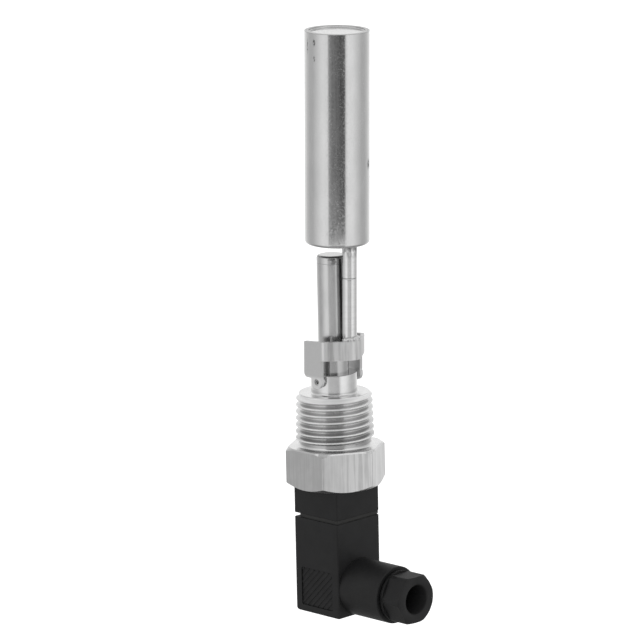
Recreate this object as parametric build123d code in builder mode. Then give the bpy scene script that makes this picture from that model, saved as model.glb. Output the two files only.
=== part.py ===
from build123d import *
import os
from math import cos, radians, sin, sqrt, tan

os.makedirs("parts", exist_ok=True)

# Side-mounted float switch, in millimetres. The switch axis is +X, from the hexagon towards the
# float. The arm stands off the sensor tube towards +Z and swings that way, and the cable leaves
# towards +Z too. The origin lies on the axis, on the shoulder between hexagon and thread.

# Fits
press_gap = 0.02
weld_gap = 0.02
running_gap = 0.05
loose_gap = 0.2

# Turned body: hexagon, taper thread and neck
hex_flats = 24.0
hex_height = 10.9
hex_lower_chamfer_radius = 11.8
hex_upper_chamfer_radius = 12.8
hex_lower_chamfer_angle = 34.0
hex_upper_chamfer_angle = 30.0
thread_length = 14.4
thread_radius = 10.66
thread_taper = 1 / 32
thread_end_chamfer = 0.8
relief_length = 1.5
relief_depth = 1.0
neck_length = 5.4
neck_radius = 6.2
neck_chamfer = 0.3
wire_bore_radius = 5.5
wire_bore_depth = 12.9

# Sensor tube and the reed switch in it
tube_radius = 4.0
tube_wall = 0.5
tube_reach = 32.0
tube_plug_height = 2.1
tube_plug_edge = 0.9
tube_plug_spigot = 2.0
reed_radius = 1.1
reed_length = 14.0
reed_glass_wall = 0.3
reed_seal = 0.6
reed_round = 0.65
reed_blade_thickness = 0.35
reed_blade_width = 1.0
reed_blade_overlap = 1.2
reed_blade_gap = 0.1
reed_tail = 3.5
reed_gap = 1.2
lead_radius = 0.45
lead_gap = 0.1

# Hinge
hinge_height = 4.0
hinge_offset = 1.35
pin_radius = 0.8
pin_shank_radius = 1.0
pin_grip = 1.7
pin_recess = 0.25
eye_countersink = 0.25
arm_lean = 1.5
stop_gap = 0.03

# Swing bracket, bent from sheet
sheet = 1.0
cheek_outside = 7.9
cheek_front = 1.6
cheek_back = 4.7
cheek_corner = 1.2
cheek_drop = 0.65
cheek_start = 0.85
web_start = 6.05
web_height = 5.15
web_angle = 36.0
bend_radius = 1.5
lug_radius = 1.8

# Arm stem with its magnet, and the float
stem_radius = 2.0
stem_wall = 0.45
stem_into_float = 3.0
stem_cap_height = 1.5
stem_weld_size = 1.1
stem_weld_leg = 0.95
stem_weld_round = 1.3
stem_weld_sweep = 200.0
magnet_length = 12.0
magnet_edge = 0.2
float_gap = 3.4
float_radius = 8.6
float_length = 57.0
float_wall = 0.6
float_edge = 0.9
float_rim = 0.5
float_recess = 0.5

# Connector base
plug_width = 16.2
plug_edge = 0.5
base_height = 7.8
base_floor = 4.6
base_cavity_radius = 5.0
spigot_height = 6.0
spigot_wall = 1.2
gasket_height = 1.1
gasket_margin = 0.1
gasket_corner = 3.6
blade_margin = 2.8
blade_width = 2.6
blade_thickness = 0.8
blade_tail = 1.5
blade_reach = 8.0

# Plug housing and what it holds
housing_height = 26.1
housing_wall = 1.6
housing_floor = 2.4
insert_height = 12.0
insert_gap = 0.15
terminal_height = 5.0
terminal_width = 3.2
terminal_depth = 2.2
terminal_start = 5.5
terminal_screw_radius = 0.7
terminal_screw_height = 0.7
terminal_screw_rise = 1.25
screw_radius = 1.4
screw_head_radius = 2.6
screw_head_height = 2.0
screw_slot = 0.7
screw_slot_depth = 0.9
screw_grip = 3.5
washer_height = 0.8
panel_width = 11.6
panel_height = 10.5
panel_margin = 1.9
panel_depth = 0.35
panel_corner = 0.6
rib_pitch = 1.3
rib_width = 0.6
rib_height = 0.25

# Cable gland
boss_radius = 7.75
boss_reach = 13.8
boss_wall = 1.3
gland_step = 5.3
cable_bore = 3.9
seal_bore = 3.3
seal_length = 6.0
washer_thickness = 0.6
nut_flats = 12.5
nut_length = 7.0
nut_gap = 0.4
nut_collar_radius = 6.9
nut_collar_height = 0.9
nut_face_radius = 6.3
nut_chamfer_angle = 44.0
nut_mouth_chamfer = 0.4

# Levels along the axis
neck_start = thread_length
neck_end = neck_start + neck_length
tube_start = wire_bore_depth - hex_height
tube_end = neck_end + tube_reach
plug_seam = tube_end - tube_plug_height
hinge_x = neck_start + hinge_height
base_top = -hex_height
base_bottom = base_top - base_height
housing_top = base_bottom - gasket_height
housing_bottom = housing_top - housing_height
gland_x = housing_bottom + boss_radius
float_start = tube_end - hinge_x + float_gap

# Directions of the arm at rest: it leans away from the tube
lean = radians(arm_lean)
along_arm = (cos(lean), 0, sin(lean))
hinge_point = (hinge_x, 0, hinge_offset)
arm_side = Plane(origin=hinge_point, x_dir=along_arm, z_dir=(0, -1, 0))
arm_end = Plane(origin=hinge_point, x_dir=(0, 1, 0), z_dir=along_arm)
arm_axis = Axis(hinge_point, along_arm)

# The foot of the stem lies on the tube when the float is down
foot_rise = tube_radius + stop_gap - hinge_offset - web_start * sin(lean)
stem_stand = foot_rise / cos(lean) + stem_radius
stem_end = float_start + stem_into_float


def save(builder, name):
    builder.part.label = name
    export_step(builder.part, "parts/" + name + ".step")


# Body: one turned stainless piece with hexagon, taper thread and neck
hex_corner = hex_flats / sqrt(3)
lower_rise = (hex_corner - hex_lower_chamfer_radius) * tan(radians(hex_lower_chamfer_angle))
upper_rise = (hex_corner - hex_upper_chamfer_radius) * tan(radians(hex_upper_chamfer_angle))
thread_end_radius = thread_radius - thread_length * thread_taper
with BuildPart() as body:
    with BuildSketch(Plane.YZ.offset(base_top)):
        RegularPolygon(hex_flats / 2, 6, major_radius=False, rotation=30)
    extrude(amount=hex_height)
    with BuildSketch(Plane.XY) as hex_turning:
        with BuildLine():
            Polyline(
                (base_top, 0),
                (base_top, hex_lower_chamfer_radius),
                (base_top + lower_rise, hex_corner),
                (-upper_rise, hex_corner),
                (0, hex_upper_chamfer_radius),
                (0, 0),
                close=True,
            )
        make_face()
    revolve(axis=Axis.X, mode=Mode.INTERSECT)
    with BuildSketch(Plane.XY) as shank_turning:
        with BuildLine():
            Polyline(
                (-relief_length, 0),
                (-relief_length, thread_radius - relief_depth),
                (relief_length, thread_radius - relief_depth),
                (relief_length + relief_depth, thread_radius),
                (thread_length - thread_end_chamfer, thread_end_radius),
                (thread_length, thread_end_radius - thread_end_chamfer),
                (neck_start, neck_radius),
                (neck_end - neck_chamfer, neck_radius),
                (neck_end, neck_radius - neck_chamfer),
                (neck_end, 0),
                close=True,
            )
        make_face()
    revolve(axis=Axis.X)
    with BuildSketch(Plane.YZ.offset(base_top)):
        Circle(wire_bore_radius)
    extrude(amount=wire_bore_depth, mode=Mode.SUBTRACT)
    with BuildSketch(Plane.YZ.offset(tube_start)):
        Circle(tube_radius + press_gap)
    extrude(amount=neck_end - tube_start, mode=Mode.SUBTRACT)
    for side in (1, -1):
        with BuildSketch(Plane.XZ.offset(-side * neck_radius)):
            with Locations((hinge_x, hinge_offset)):
                Circle(pin_shank_radius + press_gap)
        extrude(amount=side * pin_grip, mode=Mode.SUBTRACT)
save(body, "body")

# Sensor tube: thin stainless tube pressed into the neck and welded there
with BuildPart() as sensor_tube:
    with BuildSketch(Plane.YZ.offset(tube_start)):
        Circle(tube_radius)
        Circle(tube_radius - tube_wall, mode=Mode.SUBTRACT)
    extrude(amount=plug_seam - tube_start)
save(sensor_tube, "sensor_tube")

# Tube plug: closes the far end, with a spigot inside the tube and a rounded outer edge
plug_spigot_start = plug_seam - tube_plug_spigot
with BuildPart() as tube_plug:
    with BuildSketch(Plane.YZ.offset(plug_seam)):
        Circle(tube_radius)
    extrude(amount=tube_plug_height)
    fillet(tube_plug.edges().sort_by(Axis.X)[-1], tube_plug_edge)
    with BuildSketch(Plane.YZ.offset(plug_spigot_start)):
        Circle(tube_radius - tube_wall - press_gap)
    extrude(amount=tube_plug_spigot)
save(tube_plug, "tube_plug")

# Reed switch: a sealed glass capsule with two flat blades that overlap in the middle
sleeve_end = plug_spigot_start
sleeve_radius = tube_radius - tube_wall - press_gap
reed_end = plug_spigot_start - reed_gap
reed_middle = reed_end - reed_length / 2
reed_start = reed_end - reed_length
sleeve_start = reed_start - reed_tail
with BuildPart() as reed_glass:
    with BuildSketch(Plane.XY) as glass_section:
        with Locations((reed_middle, reed_radius / 2)):
            Rectangle(reed_length, reed_radius)
        fillet(glass_section.vertices().group_by(Axis.Y)[-1], reed_round)
    revolve(axis=Axis.X)
    with BuildSketch(Plane.YZ.offset(reed_start + reed_seal)):
        Circle(reed_radius - reed_glass_wall)
    extrude(amount=reed_length - 2 * reed_seal, mode=Mode.SUBTRACT)
    with BuildSketch(Plane.YZ.offset(reed_start)):
        Rectangle(reed_blade_width + press_gap, 2 * reed_blade_thickness + reed_blade_gap + press_gap)
    extrude(amount=reed_length, mode=Mode.SUBTRACT)
save(reed_glass, "reed_glass")

blade_shift = (reed_blade_thickness + reed_blade_gap) / 2
lap = reed_blade_overlap / 2
with BuildPart() as reed_blades:
    for first, last, shift in (
        (reed_start - reed_tail, reed_middle + lap, -blade_shift),
        (reed_middle - lap, reed_end + reed_glass_wall, blade_shift),
    ):
        with BuildSketch(Plane.YZ.offset(first)):
            with Locations((0, shift)):
                Rectangle(reed_blade_width, reed_blade_thickness)
        extrude(amount=last - first)
save(reed_blades, "reed_blades")

# Sleeve: moulded tube that holds the reed switch in the middle of the sensor tube
with BuildPart() as reed_sleeve:
    with BuildSketch(Plane.YZ.offset(sleeve_start)):
        Circle(sleeve_radius)
        Circle(reed_radius + press_gap, mode=Mode.SUBTRACT)
    extrude(amount=sleeve_end - sleeve_start)
save(reed_sleeve, "reed_sleeve")

# Hinge pins: stepped, pressed into the neck, with a shoulder for the bracket's eyes to run on
cheek_inside = cheek_outside - sheet
pin_names = {1: "hinge_pin_front", -1: "hinge_pin_rear"}
for side in (1, -1):
    with BuildPart() as hinge_pin:
        with BuildSketch(Plane.XZ.offset(-side * (cheek_inside - running_gap))):
            with Locations((hinge_x, hinge_offset)):
                Circle(pin_shank_radius)
        extrude(amount=side * (cheek_inside - running_gap - neck_radius + pin_grip))
        with BuildSketch(Plane.XZ.offset(-side * (cheek_outside - pin_recess))):
            with Locations((hinge_x, hinge_offset)):
                Circle(pin_radius)
        extrude(amount=side * (sheet + running_gap - pin_recess))
    save(hinge_pin, pin_names[side])

# Bracket: stainless sheet bent to two cheeks and a pointed web that wraps the stem
web_turn = radians(web_angle)
wrap_radius = stem_radius + weld_gap + sheet
web_corner = stem_stand + (wrap_radius - cheek_outside * sin(web_turn)) / cos(web_turn)
web_apex = stem_stand + wrap_radius / cos(web_turn)
cheek_end = web_start + web_height
eye_radius = pin_radius + running_gap
with BuildPart() as bracket:
    with BuildSketch(arm_end.offset(web_start)) as web_section:
        with BuildLine():
            Polyline(
                (-cheek_outside, -cheek_back - sheet),
                (-cheek_outside, web_corner),
                (0, web_apex),
                (cheek_outside, web_corner),
                (cheek_outside, -cheek_back - sheet),
                close=True,
            )
        make_face()
        fillet(web_section.vertices().sort_by(Axis.Y)[-1], wrap_radius)
        bends = [web_section.vertices().group_by(Axis.X)[n].sort_by(Axis.Y)[-1] for n in (0, -1)]
        fillet(bends, bend_radius)
        offset(amount=-sheet, mode=Mode.SUBTRACT)
        with Locations((0, -cheek_back - sheet)):
            Rectangle(2 * cheek_outside, 2 * sheet, mode=Mode.SUBTRACT)
    extrude(amount=web_height)
    for side in (1, -1):
        with BuildSketch(arm_side.offset(-side * cheek_outside)) as cheek:
            with BuildLine():
                Polyline(
                    (cheek_start, -cheek_back),
                    (cheek_end - cheek_drop, -cheek_back),
                    (cheek_end, cheek_front),
                    (cheek_start, cheek_front),
                    close=True,
                )
            make_face()
            fillet(cheek.vertices().group_by(Axis.X)[0].sort_by(Axis.Y)[0], cheek_corner)
            with Locations((cheek_start / 2, 0)):
                Rectangle(cheek_start, 2 * lug_radius)
            Circle(lug_radius)
            Circle(eye_radius, mode=Mode.SUBTRACT)
        extrude(amount=side * sheet)
    rounds = bracket.edges().filter_by(GeomType.CIRCLE)
    eyes = rounds.filter_by(lambda edge: abs(edge.radius - eye_radius) < press_gap)
    chamfer(eyes.group_by(Axis.Y)[0] + eyes.group_by(Axis.Y)[-1], eye_countersink)
save(bracket, "bracket")

# Magnet: set in the stem beside the reed switch
magnet_start = reed_middle - hinge_x - magnet_length / 2

# Stem: thin stainless tube from the bracket's web into the float
with BuildPart() as stem:
    with BuildSketch(arm_end.offset(web_start)):
        with Locations((0, stem_stand)):
            Circle(stem_radius)
            Circle(stem_radius - stem_wall, mode=Mode.SUBTRACT)
    extrude(amount=stem_end - web_start)
save(stem, "stem")

stem_bore = stem_radius - stem_wall - press_gap
for name, first in (("stem_foot_plug", web_start), ("stem_end_plug", stem_end - stem_cap_height)):
    with BuildPart() as stem_plug:
        with BuildSketch(arm_end.offset(first)):
            with Locations((0, stem_stand)):
                Circle(stem_bore)
        extrude(amount=stem_cap_height)
    save(stem_plug, name)

with BuildPart() as magnet:
    with BuildSketch(arm_end.offset(magnet_start)):
        with Locations((0, stem_stand)):
            Circle(stem_bore)
    extrude(amount=magnet_length)
    chamfer(magnet.edges(), magnet_edge)
save(magnet, "magnet")

# Spacer rod that keeps the magnet beside the reed switch
with BuildPart() as magnet_spacer:
    with BuildSketch(arm_end.offset(web_start + stem_cap_height)):
        with Locations((0, stem_stand)):
            Circle(stem_bore)
    extrude(amount=magnet_start - web_start - stem_cap_height)
save(magnet_spacer, "magnet_spacer")

# Weld bead where the stem leaves the top edge of the bracket's web
stem_axis_point = arm_end.from_local_coords((0, stem_stand, 0))
stem_axis = Axis(stem_axis_point, along_arm)
bead_start = cheek_end + weld_gap
bead_inside = stem_radius + weld_gap
with BuildPart() as stem_weld:
    with BuildSketch(arm_side) as bead_section:
        with BuildLine():
            foot = (bead_start, stem_stand + bead_inside)
            toe = (bead_start, stem_stand + bead_inside + stem_weld_leg)
            crown = (bead_start + stem_weld_size, stem_stand + bead_inside)
            Line(foot, toe)
            RadiusArc(toe, crown, -stem_weld_round)
            Line(crown, foot)
        make_face()
    revolve(axis=stem_axis, revolution_arc=stem_weld_sweep / 2)
    mirror(about=Plane.XZ)
save(stem_weld, "stem_weld")

# Float: deep-drawn cup with an eccentric hole for the stem, closed by a recessed lid
float_end = float_start + float_length
with BuildPart() as float_shell:
    with BuildSketch(arm_side) as shell_section:
        with BuildLine():
            Polyline(
                (float_start, 0),
                (float_start, float_radius),
                (float_end, float_radius),
                (float_end, float_radius - float_wall),
                (float_start + float_wall, float_radius - float_wall),
                (float_start + float_wall, 0),
                close=True,
            )
        make_face()
    revolve(axis=arm_axis)
    rims = float_shell.edges().filter_by(GeomType.CIRCLE).sort_by(Axis.X)
    fillet(rims[0], float_edge)
    with BuildSketch(arm_end.offset(float_start)):
        with Locations((0, stem_stand)):
            Circle(stem_radius + weld_gap)
    extrude(amount=float_wall, mode=Mode.SUBTRACT)
save(float_shell, "float_shell")

lid_radius = float_radius - float_wall - weld_gap
lid_face = float_end - float_recess
with BuildPart() as float_lid:
    with BuildSketch(arm_side) as lid_section:
        with BuildLine():
            Polyline(
                (lid_face - float_wall, 0),
                (lid_face - float_wall, lid_radius),
                (float_end, lid_radius),
                (float_end, lid_radius - float_rim),
                (lid_face, lid_radius - float_rim),
                (lid_face, 0),
                close=True,
            )
        make_face()
    revolve(axis=arm_axis)
save(float_lid, "float_lid")

# Connector base: square moulding under the hexagon, with a spigot in the body's wire bore
spigot_radius = wire_bore_radius - press_gap
inside_width = plug_width - 2 * housing_wall
blade_circle = inside_width / 2 - blade_margin
floor_top = base_bottom + base_floor
with BuildPart() as connector_base:
    with BuildSketch(Plane.YZ.offset(base_bottom)):
        RectangleRounded(plug_width, plug_width, plug_edge)
    extrude(amount=base_height)
    with BuildSketch(Plane.YZ.offset(base_top)):
        Circle(spigot_radius)
    extrude(amount=spigot_height)
    with BuildSketch(Plane.YZ.offset(floor_top)):
        Circle(base_cavity_radius)
    extrude(amount=base_top - floor_top, mode=Mode.SUBTRACT)
    with BuildSketch(Plane.YZ.offset(base_top)):
        Circle(spigot_radius - spigot_wall)
    extrude(amount=spigot_height, mode=Mode.SUBTRACT)
    with BuildSketch(Plane.YZ.offset(base_bottom)):
        Circle(screw_radius + running_gap)
    extrude(amount=screw_grip + running_gap, mode=Mode.SUBTRACT)
    with BuildSketch(Plane.YZ.offset(base_bottom)):
        with PolarLocations(blade_circle, 4):
            Rectangle(blade_thickness + press_gap, blade_width + press_gap)
    extrude(amount=base_floor, mode=Mode.SUBTRACT)
save(connector_base, "connector_base")

# Contact blades: three contacts and an earth blade, moulded through the floor of the base
blade_low = housing_top - blade_reach
blade_names = ("contact_blade_1", "contact_blade_2", "contact_blade_3", "earth_blade")
for number, name in enumerate(blade_names):
    with BuildPart() as contact_blade:
        with BuildSketch(Plane.YZ.offset(blade_low)):
            with PolarLocations(blade_circle, 1, start_angle=90 * number):
                Rectangle(blade_thickness, blade_width)
        extrude(amount=floor_top + blade_tail - blade_low)
    save(contact_blade, name)

# Leads: two insulated wires from the reed switch down to their blades
lead_low = floor_top + blade_tail + lead_radius
with BuildPart() as switch_leads:
    for side in (1, -1):
        lead_in = side * (lead_radius + lead_gap)
        lead_out = side * (blade_circle - blade_thickness / 2 - lead_radius - press_gap)
        with BuildLine() as route:
            FilletPolyline(
                (sleeve_start - press_gap, lead_in, 0),
                (base_top + spigot_height, lead_in, 0),
                (lead_low + 3 * lead_radius, lead_out, 0),
                (floor_top + press_gap, lead_out, 0),
                radius=2 * lead_radius,
            )
        with BuildSketch(Plane(origin=route.line @ 0, z_dir=route.line % 0)):
            Circle(lead_radius)
        sweep(path=route.line)
save(switch_leads, "switch_leads")

# Profile gasket between base and plug housing; its two back corners are rounded off to key it
gasket_width = plug_width - 2 * gasket_margin
with BuildPart() as gasket:
    with BuildSketch(Plane.YZ.offset(housing_top)) as gasket_outline:
        Rectangle(gasket_width, gasket_width)
        fillet(gasket_outline.vertices().group_by(Axis.Y)[-1], plug_edge)
        fillet(gasket_outline.vertices().group_by(Axis.Y)[0], gasket_corner)
        Circle(screw_radius + loose_gap, mode=Mode.SUBTRACT)
        with PolarLocations(blade_circle, 4):
            Rectangle(blade_thickness + loose_gap, blade_width + loose_gap, mode=Mode.SUBTRACT)
    extrude(amount=gasket_height)
save(gasket, "gasket")

# Plug housing: square moulded cover with a round boss for the cable gland
panel_x = housing_bottom + panel_margin + panel_height / 2
boss_start = plug_width / 2
boss_end = boss_start + boss_reach
boss_bore = boss_radius - boss_wall
step_z = boss_end - gland_step - seal_length
rib_count = int((panel_width + panel_height) / rib_pitch / 2)
with BuildPart() as plug_housing:
    with BuildSketch(Plane.YZ.offset(housing_bottom)):
        RectangleRounded(plug_width, plug_width, plug_edge)
    extrude(amount=housing_height)
    fillet(plug_housing.faces().sort_by(Axis.X)[0].edges(), plug_edge)
    with BuildSketch(Plane.XY.offset(boss_start - housing_wall)):
        with Locations((gland_x, 0)):
            Circle(boss_radius)
    extrude(amount=boss_reach + housing_wall)
    with BuildSketch(Plane.YZ.offset(housing_bottom + housing_floor)):
        RectangleRounded(inside_width, inside_width, plug_edge)
    extrude(amount=housing_height - housing_floor, mode=Mode.SUBTRACT)
    with BuildSketch(Plane.XY):
        with Locations((gland_x, 0)):
            Circle(seal_bore)
    extrude(amount=step_z, mode=Mode.SUBTRACT)
    with BuildSketch(Plane.XY.offset(step_z)):
        with Locations((gland_x, 0)):
            Circle(boss_bore)
    extrude(amount=boss_end - step_z, mode=Mode.SUBTRACT)
    with BuildSketch(Plane.YZ.offset(housing_bottom)):
        Circle(screw_head_radius + loose_gap)
    extrude(amount=screw_head_height, mode=Mode.SUBTRACT)
    with BuildSketch(Plane.YZ.offset(housing_bottom)):
        Circle(screw_radius + loose_gap)
    extrude(amount=housing_floor, mode=Mode.SUBTRACT)
    for side in (1, -1):
        with BuildSketch(Plane.XZ.offset(-side * boss_start)) as panel:
            with Locations((panel_x, 0)):
                RectangleRounded(panel_height, panel_width, panel_corner)
        extrude(amount=side * panel_depth, mode=Mode.SUBTRACT)
        with BuildSketch(Plane.XZ.offset(-side * (boss_start - panel_depth))) as ribs:
            with Locations((panel_x, 0)):
                with Locations(Rotation(0, 0, 45)):
                    with GridLocations(rib_pitch, 1, 2 * rib_count, 1):
                        Rectangle(rib_width, 2 * panel_width)
                RectangleRounded(panel_height, panel_width, panel_corner, mode=Mode.INTERSECT)
        extrude(amount=-side * rib_height)
save(plug_housing, "plug_housing")

# Terminal insert: moulded block in the housing, with a socket for each blade
insert_width = inside_width - 2 * insert_gap
insert_top = housing_top
terminal_top = insert_top - terminal_start
terminal_low = terminal_top - terminal_height
with BuildPart() as terminal_insert:
    with BuildSketch(Plane.YZ.offset(insert_top - insert_height)):
        RectangleRounded(insert_width, insert_width, plug_edge)
        Circle(screw_radius + loose_gap, mode=Mode.SUBTRACT)
    extrude(amount=insert_height)
    with BuildSketch(Plane.YZ.offset(terminal_top)):
        with PolarLocations(blade_circle, 4):
            Rectangle(blade_thickness + loose_gap, blade_width + loose_gap)
    extrude(amount=terminal_start, mode=Mode.SUBTRACT)
    with BuildSketch(Plane.YZ.offset(terminal_low)):
        with PolarLocations(blade_circle, 4):
            Rectangle(terminal_depth + press_gap, terminal_width + press_gap)
    extrude(amount=terminal_height, mode=Mode.SUBTRACT)
    for corner in range(4):
        outwards = Plane(
            origin=(terminal_low + terminal_screw_rise, 0, 0),
            z_dir=Vector(0, 1, 0).rotate(Axis.X, 90 * corner),
            x_dir=(1, 0, 0),
        )
        with BuildSketch(outwards.offset(blade_circle)):
            Circle(terminal_screw_radius + running_gap)
        extrude(amount=insert_width, mode=Mode.SUBTRACT)
save(terminal_insert, "terminal_insert")

# Terminals: brass clamps that take a blade from above and a wire from below
for number in range(4):
    with BuildPart() as terminal:
        with BuildSketch(Plane.YZ.offset(terminal_low)):
            with PolarLocations(blade_circle, 1, start_angle=90 * number):
                Rectangle(terminal_depth, terminal_width)
        extrude(amount=terminal_height)
        with BuildSketch(Plane.YZ.offset(blade_low - running_gap)):
            with PolarLocations(blade_circle, 1, start_angle=90 * number):
                Rectangle(blade_thickness + press_gap, blade_width + press_gap)
        extrude(amount=terminal_top - blade_low + running_gap, mode=Mode.SUBTRACT)
    save(terminal, "terminal_" + str(number + 1))

clamp_face = blade_circle + terminal_depth / 2 + press_gap
with BuildPart() as terminal_screws:
    for corner in range(4):
        outwards = Plane(
            origin=(terminal_low + terminal_screw_rise, 0, 0),
            z_dir=Vector(0, 1, 0).rotate(Axis.X, 90 * corner),
            x_dir=(1, 0, 0),
        )
        with BuildSketch(outwards.offset(clamp_face)):
            Circle(terminal_screw_radius)
        extrude(amount=terminal_screw_height)
save(terminal_screws, "terminal_screws")

# Fixing screw through the plug into the base, with its sealing washer under the head
head_seat = housing_bottom + screw_head_height
with BuildPart() as fixing_screw:
    with BuildSketch(Plane.YZ.offset(housing_bottom)):
        Circle(screw_head_radius)
    extrude(amount=screw_head_height - washer_height)
    with BuildSketch(Plane.YZ.offset(head_seat - washer_height)):
        Circle(screw_radius)
    extrude(amount=base_bottom + screw_grip - head_seat + washer_height)
    with BuildSketch(Plane.YZ.offset(housing_bottom)):
        Rectangle(3 * screw_head_radius, screw_slot)
    extrude(amount=screw_slot_depth, mode=Mode.SUBTRACT)
save(fixing_screw, "fixing_screw")

with BuildPart() as screw_washer:
    with BuildSketch(Plane.YZ.offset(head_seat - washer_height)):
        Circle(screw_head_radius)
        Circle(screw_radius + running_gap, mode=Mode.SUBTRACT)
    extrude(amount=washer_height)
save(screw_washer, "screw_washer")

# Cable gland: rubber seal, slip washer and hexagonal pressure nut
with BuildPart() as gland_seal:
    with BuildSketch(Plane.XY.offset(step_z)):
        with Locations((gland_x, 0)):
            Circle(boss_bore - press_gap)
            Circle(seal_bore, mode=Mode.SUBTRACT)
    extrude(amount=seal_length)
save(gland_seal, "gland_seal")

seal_end = step_z + seal_length
with BuildPart() as gland_washer:
    with BuildSketch(Plane.XY.offset(seal_end)):
        with Locations((gland_x, 0)):
            Circle(boss_bore - running_gap)
            Circle(cable_bore, mode=Mode.SUBTRACT)
    extrude(amount=washer_thickness)
save(gland_washer, "gland_washer")

nut_start = boss_end + nut_gap
nut_end = nut_start + nut_length
collar_end = nut_start + nut_collar_height
nut_corner = nut_flats / sqrt(3)
nut_rise = (nut_corner - nut_face_radius) * tan(radians(nut_chamfer_angle))
nut_axis = Axis((gland_x, 0, 0), (0, 0, 1))
skirt_start = seal_end + washer_thickness
with BuildPart() as gland_nut:
    with BuildSketch(Plane.XY.offset(collar_end)):
        with Locations((gland_x, 0)):
            RegularPolygon(nut_flats / 2, 6, major_radius=False, rotation=30)
    extrude(amount=nut_end - collar_end)
    with BuildSketch(Plane.XZ) as nut_turning:
        with BuildLine():
            Polyline(
                (gland_x, collar_end),
                (gland_x + nut_collar_radius, collar_end),
                (gland_x + nut_corner, collar_end + nut_corner - nut_collar_radius),
                (gland_x + nut_corner, nut_end - nut_rise),
                (gland_x + nut_face_radius, nut_end),
                (gland_x, nut_end),
                close=True,
            )
        make_face()
    revolve(axis=nut_axis, mode=Mode.INTERSECT)
    with BuildSketch(Plane.XY.offset(nut_start)):
        with Locations((gland_x, 0)):
            Circle(nut_collar_radius)
    extrude(amount=nut_collar_height)
    with BuildSketch(Plane.XY.offset(skirt_start)):
        with Locations((gland_x, 0)):
            Circle(boss_bore - running_gap)
    extrude(amount=nut_start - skirt_start)
    with BuildSketch(Plane.XY.offset(skirt_start)):
        with Locations((gland_x, 0)):
            Circle(cable_bore)
    extrude(amount=nut_end - skirt_start, mode=Mode.SUBTRACT)
    mouth = gland_nut.edges().filter_by(GeomType.CIRCLE).group_by(Axis.Z)[-1].sort_by(SortBy.RADIUS)[0]
    chamfer(mouth, nut_mouth_chamfer)
save(gland_nut, "gland_nut")
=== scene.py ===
from math import cos, pi, radians, sin, sqrt, tan

import bmesh
import bpy
from mathutils import Matrix, Vector


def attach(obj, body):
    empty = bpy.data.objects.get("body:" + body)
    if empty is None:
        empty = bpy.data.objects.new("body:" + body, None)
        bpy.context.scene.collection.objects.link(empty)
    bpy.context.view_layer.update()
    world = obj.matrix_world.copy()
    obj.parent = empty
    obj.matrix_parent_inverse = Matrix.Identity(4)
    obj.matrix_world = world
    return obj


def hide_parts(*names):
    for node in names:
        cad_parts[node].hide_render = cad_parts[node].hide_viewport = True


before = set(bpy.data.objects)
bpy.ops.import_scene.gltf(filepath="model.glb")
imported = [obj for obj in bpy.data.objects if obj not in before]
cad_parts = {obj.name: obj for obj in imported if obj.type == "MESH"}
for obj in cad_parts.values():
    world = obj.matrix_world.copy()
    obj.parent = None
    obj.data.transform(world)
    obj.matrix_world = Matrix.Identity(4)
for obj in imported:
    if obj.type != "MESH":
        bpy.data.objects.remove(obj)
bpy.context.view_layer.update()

scene = bpy.context.scene
scene.view_settings.view_transform = "Standard"


# Studio. A white tent stands round the switch, and a strip of grey foil hangs where the camera looks
# in, so that bright metal carries a dark stripe down its middle, deepest on the float. The pale floor
# lies well below, because the switch is screwed into the side of a tank and touches nothing.
class Wire:
    """The output of a shader node: sums written on it become Math nodes."""

    def __init__(self, bench, socket):
        self.bench = bench
        self.socket = socket

    def maths(self, operation, *terms):
        return self.bench.node("ShaderNodeMath", {"operation": operation}, dict(enumerate(terms)))

    def __add__(self, other):
        return self.maths("ADD", self, other)

    def __radd__(self, other):
        return self.maths("ADD", other, self)

    def __sub__(self, other):
        return self.maths("SUBTRACT", self, other)

    def __rsub__(self, other):
        return self.maths("SUBTRACT", other, self)

    def __mul__(self, other):
        return self.maths("MULTIPLY", self, other)

    def __rmul__(self, other):
        return self.maths("MULTIPLY", other, self)

    def __truediv__(self, other):
        return self.maths("DIVIDE", self, other)

    def __rtruediv__(self, other):
        return self.maths("DIVIDE", other, self)

    def __pow__(self, other):
        return self.maths("POWER", self, other)

    def __rpow__(self, other):
        return self.maths("POWER", other, self)

    def larger(self, other):
        return self.maths("MAXIMUM", self, other)

    def eased(self, low, high):
        """0 below low, 1 above high, and a soft step between them."""
        return self.bench.node("ShaderNodeMapRange", {"interpolation_type": "SMOOTHSTEP"},
                               {"Value": self, "From Min": low, "From Max": high})

    def between(self, start, full, fall, stop):
        """0 before start and after stop, 1 from full to fall, and soft steps between them."""
        return self.eased(start, full) * (1 - self.eased(fall, stop))


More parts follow.
